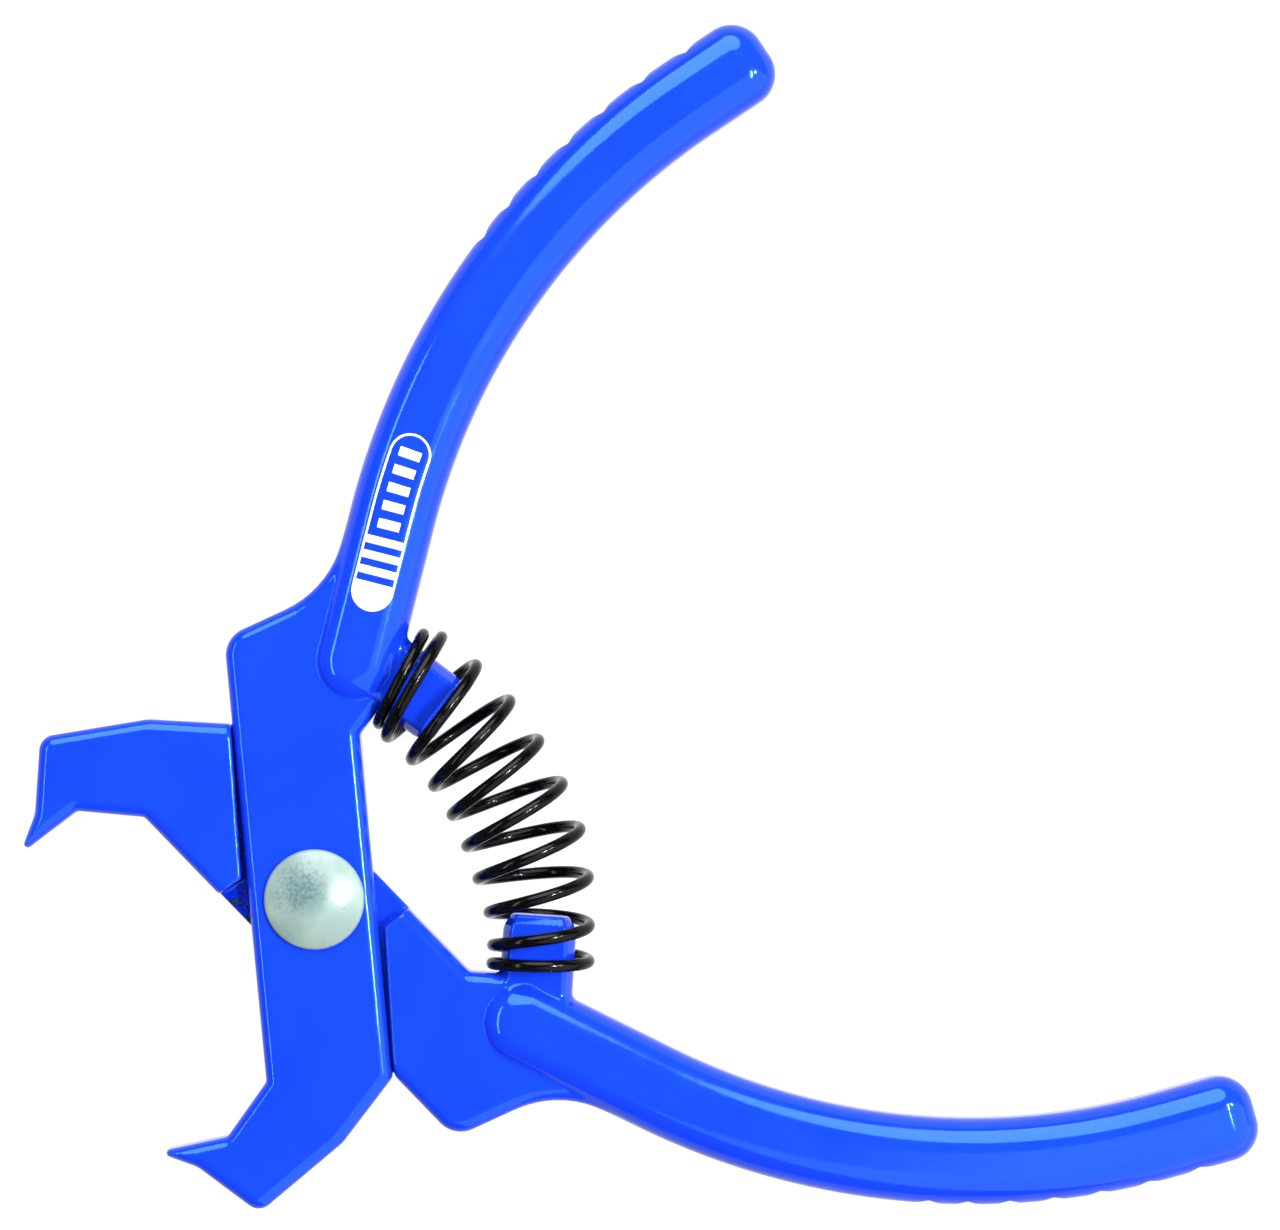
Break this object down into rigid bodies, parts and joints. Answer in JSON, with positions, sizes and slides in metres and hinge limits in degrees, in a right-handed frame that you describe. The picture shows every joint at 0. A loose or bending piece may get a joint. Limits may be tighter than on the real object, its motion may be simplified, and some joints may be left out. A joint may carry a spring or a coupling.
{
  "type": "spring-opened hooked-jaw pliers",
  "caption": "Spring-opened hand pliers: crossed die-cast levers with hooked claws and curved grips on a domed rivet, held open by a bowed black spring.",
  "frame": {"origin": "on the pivot axis, in the flat outer face of the rivet's set tail, which is the plane the tool lies on", "axes": "+Z along the pivot axis towards the rivet's domed head, +X along the line of symmetry towards the grips, +Y towards the grip of the front lever"},
  "size_m": [0.126, 0.1556, 0.0155],
  "materials": {
    "lever_enamel": "gloss blue enamel on die-cast aluminium",
    "rivet_zinc": "zinc-plated steel, lightly scuffed",
    "spring_black": "gloss black spring wire"
  },
  "bodies": {
    "rear_half": {"rear_lever": "lever_enamel", "pivot_rivet": "rivet_zinc", "rivet_washer": "rivet_zinc", "return_spring": "spring_black"},
    "front_half": {"front_lever": "lever_enamel"}
  },
  "joints": [
    {"name": "squeeze", "type": "hinge", "parent": "rear_half", "child": "front_half", "pos_m": [0, 0, 0.0078], "axis": [0, 0, -1], "range_deg": [0, 38], "stiffness_Nm_per_rad": 2.3, "springref_deg": -15.47, "deforming": ["return_spring"]}
  ]
}
